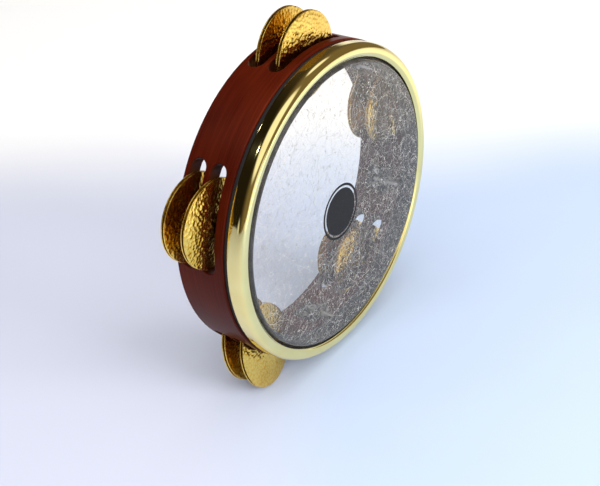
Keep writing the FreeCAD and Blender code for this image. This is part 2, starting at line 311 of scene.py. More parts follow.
class Finish(Nodes):
    """One material: a node tree that ends in a shader."""

    def __init__(self, name: str) -> None:
        """Make an empty material of that name."""
        self.material = bpy.data.materials.new(name)
        self.material.use_nodes = True
        super().__init__(self.material.node_tree)

    def place(self, scale: Sequence[float] = (1, 1, 1)) -> Socket:
        """Object coordinates about the drum's centre, scaled along each axis."""
        coordinates = self.add("ShaderNodeTexCoord").outputs["Object"]
        return self.vector("MULTIPLY", self.vector("SUBTRACT", coordinates, tuple(DRUM.centre)), tuple(scale))

    def unrolled(self, scale: Sequence[float]) -> Socket:
        """The piece's own UV map, scaled."""
        return self.vector("MULTIPLY", self.add("ShaderNodeTexCoord").outputs["UV"], tuple(scale))

    def noise(self, vector: Socket, scale: float, detail: float, roughness: float = 0.5) -> Socket:
        """The value of a noise texture."""
        inputs = {"Vector": vector, "Scale": scale, "Detail": detail, "Roughness": roughness}
        return self.add("ShaderNodeTexNoise", inputs).outputs[0]

    def blend(self, factor: object, first: Colour | Socket, second: Colour | Socket) -> Socket:
        """A colour between two colours."""
        values = [v if isinstance(v, Socket) else (*v, 1.0) for v in (first, second)]
        return self.add("ShaderNodeMix", {0: factor, 6: values[0], 7: values[1]}, data_type="RGBA").outputs[2]

    def bump(self, height: Socket, depth: float, strength: float, normal: Socket | None = None) -> Socket:
        """Relief of a given depth in metres."""
        inputs = {"Height": height, "Distance": depth, "Strength": strength}
        if normal is not None:
            inputs["Normal"] = normal
        return self.add("ShaderNodeBump", inputs).outputs[0]

    def principled(self, **values: object) -> Socket:
        """The shader of a Principled BSDF, with underscores for the spaces in its socket names."""
        inputs = {key.replace("_", " "): (*value, 1.0) if isinstance(value, tuple) else value
                  for key, value in values.items()}
        return self.add("ShaderNodeBsdfPrincipled", inputs).outputs[0]

    def mix(self, factor: object, first: Socket, second: Socket) -> Socket:
        """A mix of two shaders."""
        return self.add("ShaderNodeMixShader", {0: factor, 1: first, 2: second}).outputs[0]

    def done(self, shader: Socket) -> Material:
        """End the tree in that shader."""
        self.add("ShaderNodeOutputMaterial", {"Surface": shader})
        return self.material


@dataclass(frozen=True)
class LacqueredWood:
    """Steam-bent wood stained red-brown under a thick clear lacquer."""

    dark: Colour = (0.030, 0.0014, 0.0007)
    light: Colour = (0.120, 0.0140, 0.0026)
    inner: Colour = (0.050, 0.0100, 0.0055)
    grain_width: float = 0.9 * MM
    grain_length: float = 45 * MM

    def build(self) -> Material:
        """Grain and slow changes of stain, with a duller inside and duller slots."""
        f = Finish("lacquered_wood")
        outer, _, _ = DRUM.ring("shell")
        radius = f.vector("LENGTH", f.place((1, 0, 1)))
        outside = f.remap(radius, (outer - 1.6 * MM, outer - 0.5 * MM), (0, 1), True)
        along, across = 1 / self.grain_length, 1 / self.grain_width
        grain = f.noise(f.place((along, across, along)), 1.0, 4.0, 0.6)
        stain = f.noise(f.place(), 14.0, 2.0)
        pores = f.noise(f.place((along * 4, across * 2.2, along * 4)), 1.0, 2.0)
        tone = f.math("ADD", f.math("MULTIPLY", grain, 0.40), f.math("MULTIPLY", stain, 0.60))
        colour = f.blend(f.remap(tone, (0.30, 0.70), (0, 1)), self.dark, self.light)
        colour = f.blend(f.remap(pores, (0.60, 0.75), (0, 0.35)), colour, self.dark)
        colour = f.blend(outside, self.inner, colour)
        relief = f.bump(grain, 0.02 * MM, 0.5)
        ripple = f.bump(f.noise(f.place(), 60.0, 1.0), 0.05 * MM, 0.4)
        roughness = f.remap(stain, (0.3, 0.7), (0.30, 0.42))
        return f.done(f.principled(Base_Color=colour, Roughness=roughness, Normal=relief,
                                   Specular_IOR_Level=0.05, Coat_Weight=0.06, Coat_Roughness=0.08,
                                   Coat_IOR=1.4, Coat_Normal=ripple))


@dataclass(frozen=True)
class PolishedBrass:
    """Bright rolled brass with faint drawing marks and a light handling haze."""

    colour: Colour = (0.90, 0.79, 0.36)
    worn: Colour = (0.80, 0.64, 0.24)

    def build(self) -> Material:
        """Near-mirror metal whose sheet is very slightly uneven."""
        f = Finish("polished_brass")
        haze = f.noise(f.place(), 45.0, 4.0)
        colour = f.blend(f.remap(haze, (0.35, 0.75), (0, 0.55)), self.colour, self.worn)
        lines = f.noise(f.unrolled((18, 2600, 1)), 1.0, 2.0)
        roughness = f.math("ADD", f.remap(haze, (0.3, 0.8), (0.045, 0.11)), f.math("MULTIPLY", lines, 0.02))
        fine = f.bump(lines, 0.004 * MM, 0.25, f.bump(f.noise(f.place(), 26.0, 1.0), 0.35 * MM, 0.35))
        return f.done(f.principled(Base_Color=colour, Metallic=1.0, Roughness=roughness, Normal=fine))


@dataclass(frozen=True)
class HammeredBrass:
    """Golden cymbal brass, hammered all over, with painted glints: lighter on the blows and deeper between
    them.
    """

    bright: Colour = (0.92, 0.65, 0.16)
    deep_tone_and_shade: Colour = (0.68, 0.35, 0.035)
    blow: float = 2.1 * MM

    def build(self) -> Material:
        """Relief and a painted glint tint follow the same blows as the mesh, through the piece's UV map; the
        haze adds real uneven tone.
        """
        f = Finish("hammered_brass")
        spot = f.unrolled((1 / self.blow, 1 / self.blow, 1))
        near = f.add("ShaderNodeTexVoronoi", {"Vector": spot, "Scale": 1.0, "Randomness": 0.85},
                     voronoi_dimensions="2D").outputs["Distance"]
        fine = f.noise(f.unrolled((1 / MM, 1 / MM, 1)), 1.4, 3.0)
        haze = f.noise(f.place(), 70.0, 3.0)
        # painted glints: the colour is lighter in each dent and deeper towards the ridges between dents, and
        # the haze part is real random tone
        tone = f.math("ADD", f.math("MULTIPLY", near, 0.55), f.math("MULTIPLY", haze, 0.6))
        colour = f.blend(f.remap(tone, (0.35, 0.85), (0, 0.8)), self.bright, self.deep_tone_and_shade)
        dents = f.bump(f.math("POWER", near, 2.0), 0.30 * MM, 0.5)
        skin = f.bump(fine, 0.03 * MM, 0.5, dents)
        roughness = f.remap(haze, (0.3, 0.75), (0.14, 0.27))
        return f.done(f.principled(Base_Color=colour, Metallic=1.0, Roughness=roughness, Normal=skin))


@dataclass(frozen=True)
class ClearFilm:
    """Glossy see-through drumhead film with a thin milky bloom in it."""

    bloom: Colour = (0.80, 0.79, 0.77)
    tint: Colour = (0.93, 0.925, 0.92)
    bloom_share: float = 0.05
    mirror_index: float = 1.38
    mirror_tint: Colour = (1.0, 0.96, 0.90)

    def build(self) -> Material:
        """Clear, milky and mirror-like parts, all on the outer faces."""
        f = Finish("head_film")
        mottle = f.noise(f.place(), 160.0, 4.0, 0.65)
        share = f.remap(mottle, (0.3, 0.75), (self.bloom_share * 0.4, self.bloom_share * 1.8))
        clear = f.add("ShaderNodeBsdfTransparent", {0: (*self.tint, 1.0)}).outputs[0]
        body = f.mix(share, clear, f.principled(Base_Color=self.bloom, Roughness=0.6))
        ripple = f.bump(f.noise(f.place(), 90.0, 2.0), 0.02 * MM, 0.5)
        gloss = {"Color": (*self.mirror_tint, 1.0), "Roughness": 0.09, "Normal": ripple}
        shine = f.add("ShaderNodeBsdfGlossy", gloss).outputs[0]
        edge = f.add("ShaderNodeFresnel", {"IOR": self.mirror_index}).outputs[0]
        inside = f.add("ShaderNodeNewGeometry").outputs["Backfacing"]
        passed = f.add("ShaderNodeBsdfTransparent").outputs[0]
        return f.done(f.mix(inside, f.mix(edge, body, shine), passed))


@dataclass(frozen=True)
class FibreWhite:
    """Pale fibres bonded in the film."""

    colour: Colour = (0.90, 0.88, 0.84)
    shaded: Colour = (0.48, 0.46, 0.43)

    def build(self) -> Material:
        """Fibres differ in how white they are, and let some light through."""
        f = Finish("head_fibres")
        strength = f.noise(f.place(), 240.0, 2.0)
        colour = f.blend(f.remap(strength, (0.42, 0.58), (0, 1)), self.shaded, self.colour)
        white = f.principled(Base_Color=colour, Roughness=0.55)
        through = f.add("ShaderNodeBsdfTranslucent", {"Color": colour}).outputs[0]
        return f.done(f.mix(0.4, white, through))


@dataclass(frozen=True)
class PrintedInk:
    """Flat black ink with a slightly uneven coat."""

    colour: Colour = (0.012, 0.012, 0.013)

    def build(self) -> Material:
        """Ink that is a little thinner in small spots."""
        f = Finish("printed_ink")
        spots = f.noise(f.place(), 900.0, 3.0)
        colour = f.blend(f.remap(spots, (0.5, 0.8), (0, 0.5)), self.colour, (0.06, 0.06, 0.065))
        return f.done(f.principled(Base_Color=colour, Specular_IOR_Level=0.1,
                                   Roughness=f.remap(spots, (0.3, 0.7), (0.45, 0.6))))


@dataclass(frozen=True)
class BlackAnodised:
    """Black anodised metal with fine turning marks."""

    colour: Colour = (0.016, 0.016, 0.018)

    def build(self) -> Material:
        """Dark satin metal."""
        f = Finish("black_anodised")
        lines = f.noise(f.unrolled((10, 3500, 1)), 1.0, 2.0)
        dust = f.noise(f.place(), 120.0, 3.0)
        colour = f.blend(f.remap(dust, (0.45, 0.8), (0, 0.4)), self.colour, (0.07, 0.07, 0.07))
        return f.done(f.principled(Base_Color=colour, Metallic=0.6, Normal=f.bump(lines, 0.01 * MM, 0.4),
                                   Roughness=f.remap(lines, (0.3, 0.7), (0.3, 0.45))))


@dataclass(frozen=True)
class SoftRubber:
    """Matt black rubber."""

    colour: Colour = (0.010, 0.009, 0.009)

    def build(self) -> Material:
        """Fine-pored, dusty black."""
        f = Finish("soft_rubber")
        pores = f.noise(f.place(), 1400.0, 3.0)
        colour = f.blend(f.remap(pores, (0.4, 0.8), (0, 0.6)), self.colour, (0.03, 0.028, 0.027))
        return f.done(f.principled(Base_Color=colour, Roughness=0.72, Normal=f.bump(pores, 0.03 * MM, 0.5)))


@dataclass(frozen=True)
class PlatedSteel:
    """Zinc-plated steel with a soft, uneven shine."""

    colour: Colour = (0.62, 0.62, 0.63)

    def build(self) -> Material:
        """Plating that is cloudy in places."""
        f = Finish("plated_steel")
        cloud = f.noise(f.place(), 320.0, 4.0)
        scuffs = f.noise(f.place((1, 6, 1)), 700.0, 2.0)
        colour = f.blend(f.remap(cloud, (0.3, 0.75), (0, 0.7)), self.colour, (0.40, 0.39, 0.37))
        return f.done(f.principled(Base_Color=colour, Metallic=1.0, Normal=f.bump(scuffs, 0.01 * MM, 0.4),
                                   Roughness=f.remap(cloud, (0.3, 0.7), (0.2, 0.42))))


@dataclass(frozen=True)
class StudioSweep:
    """White floor with painted shadow round the drum: a cool and a grey tint, away from the light."""

    white: Colour = (0.90, 0.90, 0.90)
    cool_shadow: Colour = (0.48, 0.575, 0.75)
    grey_shadow: Colour = (0.57, 0.60, 0.72)
    rightwards: Place = (0.62, -0.78, 0.0)
    nearwards: Place = (-0.78, -0.62, 0.0)

    def build(self) -> Material:
        """Painted shadow round the drum, bluer to its right and greyer to its left, with a satin sheen."""
        f = Finish("studio_sweep")
        coordinates = f.add("ShaderNodeTexCoord").outputs["Object"]
        drift = f.math("MULTIPLY", f.math("SUBTRACT", f.noise(coordinates, 2.2, 2.0), 0.5), 0.15)
        right, near = (f.math("ADD", f.vector("DOT_PRODUCT", coordinates, way), drift)
                       for way in (self.rightwards, self.nearwards))
        # painted shadow: a grey tint to the drum's left and a blue one to its right, laid only near the drum
        # and fading to white further off
        tint = f.blend(f.remap(right, (-0.10, 0.04), (0, 1), True), self.grey_shadow, self.cool_shadow)
        reach = f.math("MULTIPLY", f.remap(near, (-0.42, -0.18), (0, 1), True),
                       f.remap(right, (0.44, 0.30), (0, 1), True))
        return f.done(f.principled(Base_Color=f.blend(reach, self.white, tint), Roughness=0.35))


# ---- geometry node trees ----
class GeometryTree(Nodes):
    """A Geometry Nodes tree with named inputs, which ends in Realize Instances and Set Material."""

    def __init__(self, name: str) -> None:
        """Make an empty tree with one geometry input and one geometry output."""
        super().__init__(bpy.data.node_groups.new(name, "GeometryNodeTree"))
        for way in ("OUTPUT", "INPUT"):
            self.tree.interface.new_socket("Geometry", in_out=way, socket_type="NodeSocketGeometry")
        self.entry = self.add("NodeGroupInput")

    def wants(self, **kinds: str) -> None:
        """Declare named inputs, each with its socket type's last word."""
        for name, kind in kinds.items():
            self.tree.interface.new_socket(name, in_out="INPUT", socket_type=f"NodeSocket{kind}")

    def given(self, name: str) -> Socket:
        """The socket of a named input."""
        return self.entry.outputs[name]

    def finish(self, geometry: Socket) -> "GeometryTree":
        """End the tree: instances become a real mesh with the given material."""
        real = self.add("GeometryNodeRealizeInstances", {"Geometry": geometry}).outputs[0]
        dressed = self.add("GeometryNodeSetMaterial", {"Geometry": real, "Material": self.given("Material")})
        self.add("NodeGroupOutput", {0: dressed.outputs[0]})
        return self

    def grow(self, base: Mesh, **values: object) -> Mesh:
        """Run the tree on a mesh and return the plain mesh that comes out.

        Args:
            base: the mesh that goes in.
            values: the tree's named inputs.

        Returns:
            A new mesh with no modifier left on it.
        """
        holder = placed("growing", base)
        modifier = holder.modifiers.new("grow", "NODES")
        modifier.node_group = self.tree
        sockets = {item.name: item.identifier for item in self.tree.interface.items_tree
                   if item.item_type == "SOCKET" and item.in_out == "INPUT"}
        for name, value in values.items():
            modifier[sockets[name]] = value
        evaluated = holder.evaluated_get(bpy.context.evaluated_depsgraph_get())
        grown = bpy.data.meshes.new_from_object(evaluated)
        holder.modifiers.remove(modifier)
        bpy.data.objects.remove(holder)
        return grown


def hammering_tree() -> GeometryTree:
    """Hammer blows on a disc: shallow overlapping dents between its cup and its rim."""
    g = GeometryTree("hammering")
    g.wants(Blow="Float", Depth="Float", Inner="Float", Outer="Float", Waviness="Float", Seed="Float",
            Material="Material")
    position = g.add("GeometryNodeInputPosition").outputs[0]
    radius = g.vector("LENGTH", g.vector("MULTIPLY", position, (1, 1, 0)))
    spot = g.add("GeometryNodeInputNamedAttribute", {"Name": "UVMap"}, data_type="FLOAT_VECTOR").outputs[0]
    cell = g.vector("DIVIDE", spot, g.xyz(*[g.given("Blow")] * 3))
    near = g.add("ShaderNodeTexVoronoi", {"Vector": cell, "Scale": 1.0, "Randomness": 0.85},
                 voronoi_dimensions="2D").outputs["Distance"]
    dent = g.math("MULTIPLY", g.math("SUBTRACT", g.math("POWER", near, 2.0), 0.18), g.given("Depth"))
    seeded = g.math("MULTIPLY", g.given("Seed"), 3.7)
    sway = g.add("ShaderNodeTexNoise", {"Vector": position, "W": seeded, "Scale": 55.0, "Detail": 1.0},
                 noise_dimensions="4D").outputs[0]
    wave = g.math("MULTIPLY", g.math("SUBTRACT", sway, 0.5), g.given("Waviness"))
    edge_in, edge_out = (g.remap(radius, (g.given(edge), g.math("ADD", g.given(edge), fade)), (0, 1), True)
                         for edge, fade in (("Inner", 1.5 * MM), ("Outer", -1.2 * MM)))
    lift = g.math("MULTIPLY", g.math("MULTIPLY", edge_in, edge_out), g.math("ADD", dent, wave))
    moved = g.add("GeometryNodeSetPosition", {"Geometry": g.given("Geometry"), "Offset": g.xyz(z=lift)})
    return g.finish(moved.outputs[0])


def fibre_tree() -> GeometryTree:
    """Bowed fibres strewn over a surface, each lying flat at its own angle."""
    g = GeometryTree("fibres")
    g.wants(Count="Float", Length="Float", Thickness="Float", Flatness="Float", Seed="Int",
            Material="Material")
    strewn = g.add("GeometryNodeDistributePointsOnFaces",
                   {"Mesh": g.given("Geometry"), "Density": g.given("Count"), "Seed": g.given("Seed")},
                   distribute_method="RANDOM")
    profile = g.add("GeometryNodeCurvePrimitiveCircle", {"Resolution": 3, "Radius": g.given("Thickness")})
    bows = g.add("GeometryNodeGeometryToInstance")
    half = g.math("MULTIPLY", g.given("Length"), 0.5)
    ends = {"Start": g.xyz(g.math("MULTIPLY", half, -1.0)), "End": g.xyz(half)}
    for bow in (0.0, 0.07, -0.14, 0.34):
        middle = g.xyz(y=g.math("MULTIPLY", g.given("Length"), bow))
        path = g.add("GeometryNodeCurveQuadraticBezier", {"Resolution": 3, "Middle": middle, **ends})
        strand = g.add("GeometryNodeCurveToMesh",
                       {"Curve": path.outputs[0], "Profile Curve": profile.outputs[0], "Fill Caps": True})
        g.tree.links.new(strand.outputs[0], bows.inputs[0])
    turn = g.add("FunctionNodeRandomValue", {0: (0, 0, 0), 1: (0, 0, 2 * math.pi), "Seed": 11},
                 data_type="FLOAT_VECTOR").outputs[0]
    longest = g.add("FunctionNodeRandomValue", {2: 0.0, 3: 1.0, "Seed": 12}, data_type="FLOAT").outputs[1]
    stretch = g.math("ADD", g.math("MULTIPLY", g.math("POWER", longest, 3.0), 2.0), 0.45)
    width = g.add("FunctionNodeRandomValue", {2: 0.5, 3: 1.3, "Seed": 13}, data_type="FLOAT").outputs[1]
    scale = g.xyz(stretch, width, g.given("Flatness"))
    choice = g.add("FunctionNodeRandomValue", {4: 0, 5: 3, "Seed": 14}, data_type="INT").outputs[2]
    laid = g.add("GeometryNodeInstanceOnPoints",
                 {"Points": strewn.outputs[0], "Instance": bows.outputs[0], "Pick Instance": True,
                  "Instance Index": choice, "Rotation": turn, "Scale": scale})
    return g.finish(laid.outputs[0])


def ring_tree() -> GeometryTree:
    """Copies of one part, evenly spaced round the drum's axis."""
    g = GeometryTree("ring_of_parts")
    g.wants(Copies="Int", Start="Float", Material="Material")
    index = g.add("GeometryNodeInputIndex").outputs[0]
    line = g.add("GeometryNodeMeshLine", {"Count": g.given("Copies"), "Offset": (0, 0, 0)})
    step = g.math("DIVIDE", -2 * math.pi, g.given("Copies"))
    angle = g.math("SUBTRACT", g.math("MULTIPLY", index, step), g.given("Start"))
    laid = g.add("GeometryNodeInstanceOnPoints",
                 {"Points": line.outputs[0], "Instance": g.given("Geometry"), "Rotation": g.xyz(z=angle)})
    return g.finish(laid.outputs[0])


# ---- sub-assemblies ----
@dataclass
class Hoops:
    """The brass counter hoop and what it clamps: flesh hoop, tuning ring and the dark band below."""

    outer: float = 109.5 * MM
    lip: float = 100.6 * MM
    crest_inset: float = 4.9 * MM
    skirt: float = 5.6 * MM
    crest: float = 11.2 * MM
    lip_height: float = 10.0 * MM
    gauge: float = 1.2 * MM
    lip_curl: float = 3.4
    edge_round: float = 0.25 * MM
    ring_wall: float = 1.3 * MM
    ring_flange: float = 1.6 * MM
    ring_reach: float = 4.4 * MM
    ring_round: float = 0.3 * MM
    clearance: float = 0.03 * MM
    flesh_wall: float = 5.2 * MM
    flesh_round: float = 0.5 * MM
    gasket_wall: float = 6.0 * MM
    gasket_round: float = 0.35 * MM
    hoop_steps: int = 320
    ring_steps: int = 256

    def outline(self) -> Outline:
        """Section of the rolled sheet: skirt, bead and lip, walked from the skirt's inner edge."""
        crest_radius = self.lip + self.crest_inset
        bead, rise = self.outer - crest_radius, self.crest - self.skirt
        thin, soften = self.gauge, self.edge_round
        inner = self.outer - thin
        middle = (crest_radius, self.skirt)
        lip_in = [(crest_radius - (self.crest_inset - thin / 2) * u,
                   self.crest - (self.crest - self.lip_height) * u ** self.lip_curl)
                  for u in (0.25, 0.45, 0.6, 0.72, 0.82, 0.92, 1.0)]
        nose = arc((self.lip + thin / 2, self.lip_height - thin / 2), thin / 2, 90, 270, 10)
        under = [(r, h - thin) for r, h in reversed(lip_in[:-1])]
        return ([(inner, soften), (inner + soften, 0.0), (self.outer - soften, 0.0)]
                + run((self.outer, soften), (self.outer, self.skirt), 6)
                + arc(middle, bead, 0, 90, 14, rise) + lip_in[:-1] + nose + under
                + arc(middle, bead - thin, 90, 0, 14, rise - thin)
                + run((inner, self.skirt - thin / 2), (inner, soften), 4))

    def build(self, brass: Material, black: Material, rubber: Material) -> None:
        """Turn the brass hoop and the three rings below it."""
        flesh = self.plain_section("flesh_hoop", self.flesh_wall, self.flesh_round)
        gasket = self.plain_section("hoop_gasket", self.gasket_wall, self.gasket_round)
        turned = (("hoop_rolled", "counter_hoop", self.outline(), brass, "hoop_brass"),
                  ("flesh_hoop_turned", "flesh_hoop", flesh, black, "black_anodised"),
                  ("tuning_ring_turned", "tuning_ring", self.tuning_section(), black, "black_anodised"),
                  ("hoop_gasket_moulded", "hoop_gasket", gasket, rubber, "gasket"))
        for name, node, outline, material, slot in turned:
            steps = self.hoop_steps if material is brass else self.ring_steps
            piece(name, lathe(name, outline, steps, 50.0), material, replaces=(node,))

    def tuning_section(self) -> Outline:
        """L section: a thin wall with a round top under the film, on a flange that the screws push."""
        outer, bottom, top = DRUM.ring("tuning_ring")
        thick, foot, c = self.ring_wall, self.ring_flange, self.ring_round
        inner = outer - self.ring_reach
        corners = (((outer - c, bottom + c), -90), ((inner + c, foot - c), 90),
                   ((inner + c, bottom + c), 180))
        first, second, third = (arc(centre, c, start, start + 90, 4) for centre, start in corners)
        crown = arc((outer - thick / 2, top - thick / 2), thick / 2, 0, 180, 10)
        return first + crown + [(outer - thick, foot)] + second + third

    def plain_section(self, node: str, wall: float, c: float) -> Outline:
        """Section of a plain CAD ring with that wall, with its corners rounded to a radius of c."""
        outer, bottom, top = DRUM.ring(node)
        outer -= self.clearance
        inner = outer - wall
        centres = ((outer - c, bottom + c), (outer - c, top - c), (inner + c, top - c),
                   (inner + c, bottom + c))
        return [point for i, centre in enumerate(centres) for point in arc(centre, c, 90 * i - 90, 90 * i, 4)]


@dataclass
class Head:
    """The film, the fibres bonded in it and its printed roundel."""

    plateau: float = 98.2 * MM
    film: float = 0.3 * MM
    rim_inner: float = 101.0 * MM
    rim_outer: float = 106.3 * MM
    top: float = 11.0 * MM
    rim_height: float = 6.5 * MM
    fibre_area: float = 97.6 * MM
    fibre_margin: float = 3.0 * MM
    bend: float = 1.0 * MM
    bend_drop: float = 0.28
    draw: float = 0.1 * MM
    first_ring: float = 8 * MM
    roundel_radius: float = 20.0 * MM
    roundel_centre: tuple[float, float] = (-3.6 * MM, -1.8 * MM)
    roundel_gap: tuple[float, float] = (0.84, 0.91)

    def outline(self) -> Outline:
        """Section of the film: playing surface, bend, collar and rim."""
        t = self.film
        over = [(self.plateau - self.bend * (1 - u), self.top - self.bend * self.bend_drop * u * u)
                for u in (0.0, 0.35, 0.7, 1.0)]
        upper = [(0.0, self.top)] + run((self.first_ring, self.top), over[0], 14) + over
        foot, low = (self.rim_inner, self.rim_height + t), self.rim_height
        collar = run(upper[-1], foot, 8)[1:]
        rim = [foot, (self.rim_outer, low + t), (self.rim_outer, low), (self.rim_inner - self.draw, low)]
        back = [(r - self.draw, h - t) for r, h in reversed(upper + collar)]
        back[-1] = (0.0, self.top - t)
        return upper + collar + rim + back

    def build(self, film: Material, fibres: Material, ink: Material) -> None:
        """Make the film, strew its fibres and print the roundel."""
        piece("head_film", lathe("head_film", self.outline(), 256), film, replaces=("drumhead",))
        tree = fibre_tree()
        layers = {"head_fibres_fine": dict(Count=170000.0, Length=4.2 * MM, Thickness=0.06 * MM, Seed=5),
                  "head_fibres_long": dict(Count=24000.0, Length=12 * MM, Thickness=0.09 * MM, Seed=8),
                  "head_fibre_flecks": dict(Count=60000.0, Length=0.9 * MM, Thickness=0.26 * MM, Seed=21)}
        for name, sizes in layers.items():
            mesh = tree.grow(self.disc(), **sizes, Flatness=0.3, Material=fibres)
            self.gather(mesh)
            mesh.shade_smooth()
            piece(name, mesh, fibres, local=Matrix.Translation((0, 0, self.top - self.film / 2)))
        self.print_roundel(ink)

    def gather(self, mesh: Mesh) -> None:
        """Bend the ends that stick out over the film's edge along it."""
        start = self.fibre_area - self.fibre_margin
        for vertex in mesh.vertices:
            beyond = vertex.co.xy.length - start
            if beyond > 0:
                kept = start + self.fibre_margin * math.tanh(beyond / self.fibre_margin)
                vertex.co.xy = vertex.co.xy.normalized() * kept

    def disc(self) -> Mesh:
        """A flat disc for the fibres to be strewn on."""
        bm = bmesh.new()
        bmesh.ops.create_circle(bm, cap_ends=True, radius=self.fibre_area, segments=96)
        return plain_mesh("fibre_ground", bm)

    def print_roundel(self, ink: Material) -> None:
        """A plain dark spot inside a thin ring, as two thin layers of ink on the film."""
        r, low, high = self.roundel_radius, self.top + 0.005 * MM, self.top + 0.03 * MM
        inside, outside = (r * share for share in self.roundel_gap)
        spot = [(0.0, low), (inside, low), (inside, high), (0.0, high)]
        ring = [(outside, low), (r, low), (r, high), (outside, high)]
        move = Matrix.Translation((*self.roundel_centre, 0))
        for name, outline in (("roundel_spot", spot), ("roundel_ring", ring)):
            piece(name, lathe(name, outline, 128), ink, local=move)


@dataclass
class Cymbals:
    """Twenty hammered cymbals, two facing pairs in each of five sets."""

    radius: float
    gauge: float
    cup_radius: float = 9.5 * MM
    cup_height: float = 2.0 * MM
    bow: float = 1.3 * MM
    hole_radius: float = 4.33 * MM
    lean: float = 15.0
    segments: int = 208
    bow_rings: int = 26
    cup_rings: int = 8
    cup_curl: float = 1.15
    cup_draw: float = 0.35
    blow: float = 2.1 * MM
    blow_depth: float = 0.42 * MM
    waviness: float = 0.35 * MM
    pattern_shift: tuple[float, float] = (0.31, 0.17)

    @classmethod
    def measured(cls) -> "Cymbals":
        """Read the sheet's radius and gauge from the box of an upright cymbal."""
        low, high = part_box("cymbal_top_1")
        return cls(radius=(high[0] - low[0]) / 2, gauge=high[1] - low[1] - cls.cup_height)

    def outline(self) -> Outline:
        """Section of a cymbal about its own axis: flat face at height 0, cup rising from it."""
        g, foot, flat_end = self.gauge, self.cup_radius, self.radius - self.gauge / 2

        def lift(radius: float) -> float:
            """Height of the bowed sheet, which is nothing at the rim."""
            return self.bow * (1 - ((radius - foot) / (flat_end - foot)) ** 2)

        shares = [i / self.cup_rings for i in range(self.cup_rings + 1)]
        cup = [(foot + (self.hole_radius - foot) * u,
                self.bow + (self.cup_height - self.bow) * math.sin(math.pi / 2 * u) ** self.cup_curl)
               for u in shares]
        upper_cup = [(r + g * self.cup_draw * (1 - u), h + g) for u, (r, h) in zip(shares, cup)]
        below = [(r, lift(r)) for r, _ in run((foot, 0.0), (flat_end, 0.0), self.bow_rings)]
        rim = arc((flat_end, g / 2), g / 2, -90, 90, 8)
        above = [(r, g + lift(r)) for r, _ in run((flat_end, g), upper_cup[0], self.bow_rings)[1:]]
        return below + rim + above + upper_cup + list(reversed(cup))[:-1]

    def blank(self, seed: int) -> Mesh:
        """A smooth cymbal whose UV map says where on the hammering pattern it lies."""
        mesh = lathe(f"cymbal_blank_{seed}", self.outline(), self.segments, 50.0)
        shift = Vector(self.pattern_shift) * seed
        layer = mesh.uv_layers["UVMap"].data
        for loop in mesh.loops:
            layer[loop.index].uv = mesh.vertices[loop.vertex_index].co.xy + shift
        return mesh

    def seat(self, node: str, which: CymbalSet, facing: Facing) -> Matrix:
        """Where a cymbal's own axes lie in the drum's, from the box of its CAD node."""
        low, high = DRUM.box(node)
        rim = (low + high) / 2
        tilt = Matrix()
        if which.stands:
            out = clockwise(which.value) @ Vector((0, 1, 0))
            tilt = Matrix.Rotation(math.radians(self.lean), 4, out.cross(Vector((0, 0, 1))))
        else:
            rim.z = (low if facing is Facing.HEAD else high).z + facing.value * self.gauge / 2
        flip = Matrix() if facing is Facing.HEAD else Matrix.Rotation(math.pi, 4, "X")
        return Matrix.Translation(rim) @ tilt @ flip @ Matrix.Translation((0, 0, -self.gauge / 2))

    def build(self, brass: Material) -> None:
        """Hammer each cymbal from its own seed and hang it in its set."""
        tree = hammering_tree()
        seed = 0
        for which in CymbalSet:
            for number in (1, 2, 3, 4):
                seed += 1
                node = f"cymbal_{which.name.lower()}_{number}"
                facing = Facing.HEAD if number % 2 else Facing.BACK
                mesh = tree.grow(self.blank(seed), Blow=self.blow, Depth=self.blow_depth,
                                 Inner=self.hole_radius, Outer=self.radius, Waviness=self.waviness,
                                 Seed=float(seed), Material=brass)
                piece(f"hammered_{node}", mesh, brass, body=node, replaces=(node,),
                      local=self.seat(node, which, facing))


